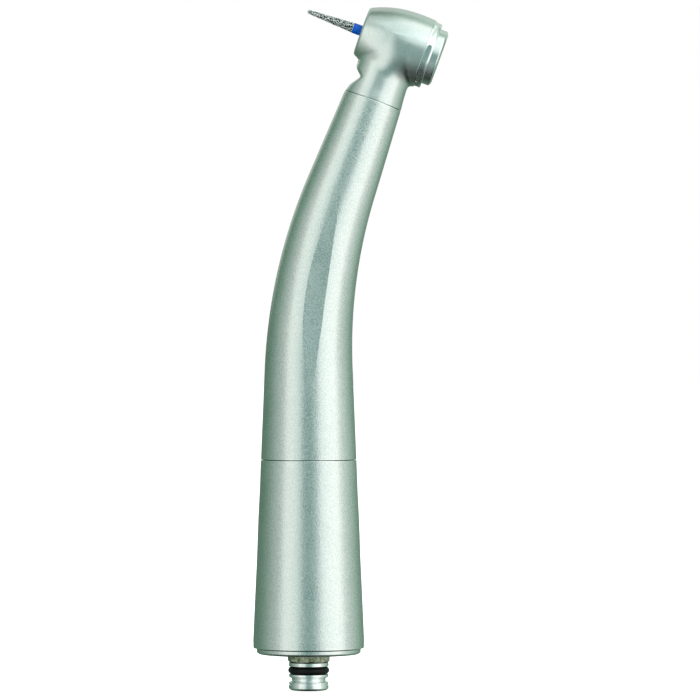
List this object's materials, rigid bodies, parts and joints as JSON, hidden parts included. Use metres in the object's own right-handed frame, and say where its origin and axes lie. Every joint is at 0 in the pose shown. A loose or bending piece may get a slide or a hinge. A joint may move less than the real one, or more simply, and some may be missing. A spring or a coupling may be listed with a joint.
{
  "type": "dental high speed handpiece",
  "caption": "Air-turbine dental handpiece: angled satin-metal body, small push-button head holding a tapered diamond bur, quick-coupling stub with a sealing ring.",
  "frame": {"origin": "centre of the coupling stub's rear face", "axes": "+Z along the straight rear sleeve towards the head, +X towards the side that the head leans to, so the bur points to -X and up"},
  "size_m": [0.0302, 0.0172, 0.1058],
  "materials": {
    "satin_titanium": "satin, finely blasted",
    "polished_steel": "polished",
    "hex_steel": "machined",
    "bearing_steel": "ground",
    "tube_steel": "drawn",
    "block_alloy": "machined",
    "ball_ceramic": "polished ceramic",
    "cage_resin": "moulded",
    "seal_rubber": "smooth",
    "bur_steel": "ground",
    "band_enamel": "enamel",
    "diamond_coat": "coarse grit in nickel",
    "light_glass": "polished"
  },
  "bodies": {
    "handpiece": {"head_housing": "satin_titanium", "head_cap": "polished_steel", "button_spring": "bearing_steel", "front_outer_race": "bearing_steel", "rear_outer_race": "bearing_steel", "front_damping_ring": "seal_rubber", "rear_damping_ring": "seal_rubber", "front_shield": "bearing_steel", "wave_washer": "bearing_steel", "light_window": "light_glass", "light_rod": "light_glass", "drive_air_tube": "tube_steel", "exhaust_tube": "tube_steel", "water_tube": "tube_steel", "spray_air_tube": "tube_steel", "body_shell": "satin_titanium", "rear_sleeve": "satin_titanium", "joint_block": "block_alloy", "end_ring": "satin_titanium", "hex_collar": "hex_steel", "coupling_stub": "polished_steel", "stub_ring": "seal_rubber"},
    "rotor": {"spindle": "bearing_steel", "impeller": "block_alloy", "chuck_collet": "bearing_steel", "front_inner_race": "bearing_steel", "rear_inner_race": "bearing_steel"},
    "front_ball_set": {"front_balls": "ball_ceramic", "front_cage": "cage_resin"},
    "rear_ball_set": {"rear_balls": "ball_ceramic", "rear_cage": "cage_resin"},
    "button": {"push_button": "polished_steel"},
    "pusher": {"chuck_pusher": "bearing_steel"},
    "bur": {"bur_shank": "bur_steel", "bur_band": "band_enamel", "bur_grit": "diamond_coat"}
  },
  "joints": [
    {"name": "rotor_spin", "type": "hinge", "parent": "handpiece", "child": "rotor", "pos_m": [0.01302, 0, 0.10041], "axis": [-0.9397, 0, 0.342], "continuous": true},
    {"name": "front_balls_spin", "type": "hinge", "parent": "handpiece", "child": "front_ball_set", "pos_m": [0.01302, 0, 0.10041], "axis": [-0.9397, 0, 0.342], "continuous": true},
    {"name": "rear_balls_spin", "type": "hinge", "parent": "handpiece", "child": "rear_ball_set", "pos_m": [0.01302, 0, 0.10041], "axis": [-0.9397, 0, 0.342], "continuous": true},
    {"name": "button_press", "type": "slide", "parent": "handpiece", "child": "button", "axis": [-0.9397, 0, 0.342], "range_m": [0, 0.0007], "stiffness_N_per_m": 2000, "springref_m": -0.001, "deforming": ["button_spring"]},
    {"name": "chuck_release", "type": "slide", "parent": "rotor", "child": "pusher", "axis": [-0.9397, 0, 0.342], "range_m": [0, 0.00065]},
    {"name": "bur_release", "type": "slide", "parent": "rotor", "child": "bur", "axis": [-0.9397, 0, 0.342], "range_m": [0, 0.01]}
  ],
  "couplings": [
    {"joint": "front_balls_spin", "follows": "rotor_spin", "ratio": 0.395},
    {"joint": "rear_balls_spin", "follows": "rotor_spin", "ratio": 0.395},
    {"joint": "chuck_release", "follows": "button_press", "ratio": 0.9}
  ]
}
